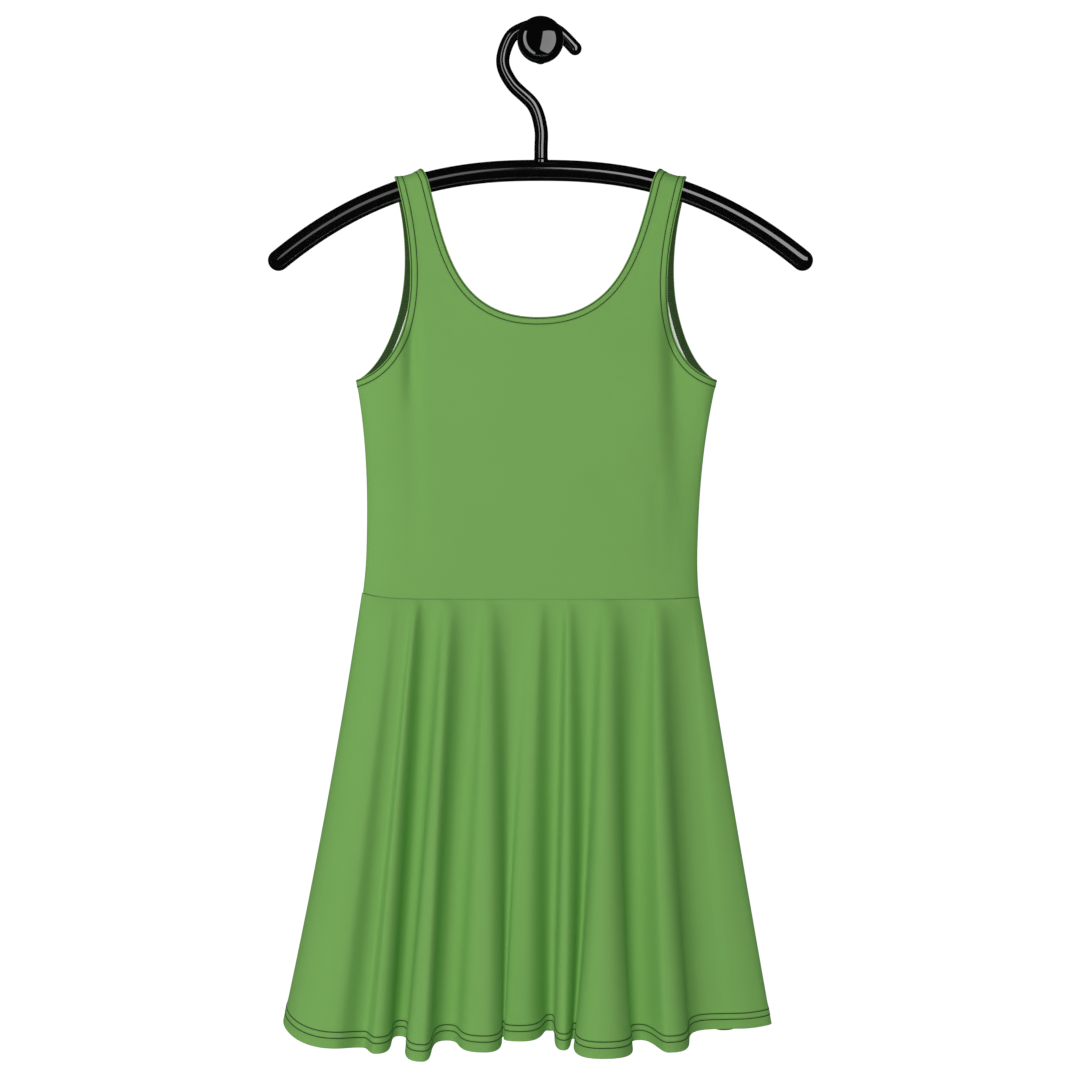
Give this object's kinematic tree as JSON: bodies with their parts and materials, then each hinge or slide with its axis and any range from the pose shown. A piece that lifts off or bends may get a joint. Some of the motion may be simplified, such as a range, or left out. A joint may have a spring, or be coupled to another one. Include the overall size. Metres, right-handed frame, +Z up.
{
  "type": "skater dress on a hanger and wall knob",
  "caption": "Sleeveless scoop-neck jersey skater dress with a flared, folded skirt, hanging flat on a curved tube hanger from a round wall knob.",
  "frame": {"origin": "middle of the knob's foot, on the wall", "axes": "+Z up, +Y into the wall, so the dress faces -Y; +X to the right of someone who looks at the dress"},
  "size_m": [0.5184, 0.134, 0.971],
  "materials": {
    "jersey": "plain leaf-green stretch jersey, matt with a soft sheen, off-white inside",
    "hanger_plastic": "smooth glossy black",
    "knob_lacquer": "high-gloss black"
  },
  "bodies": {
    "root": {"bodice_front": "jersey", "bodice_back": "jersey", "skirt_front": "jersey", "skirt_back": "jersey", "hanger_bar": "hanger_plastic", "hanger_hook": "hanger_plastic", "wall_knob": "knob_lacquer"}
  },
  "joints": []
}
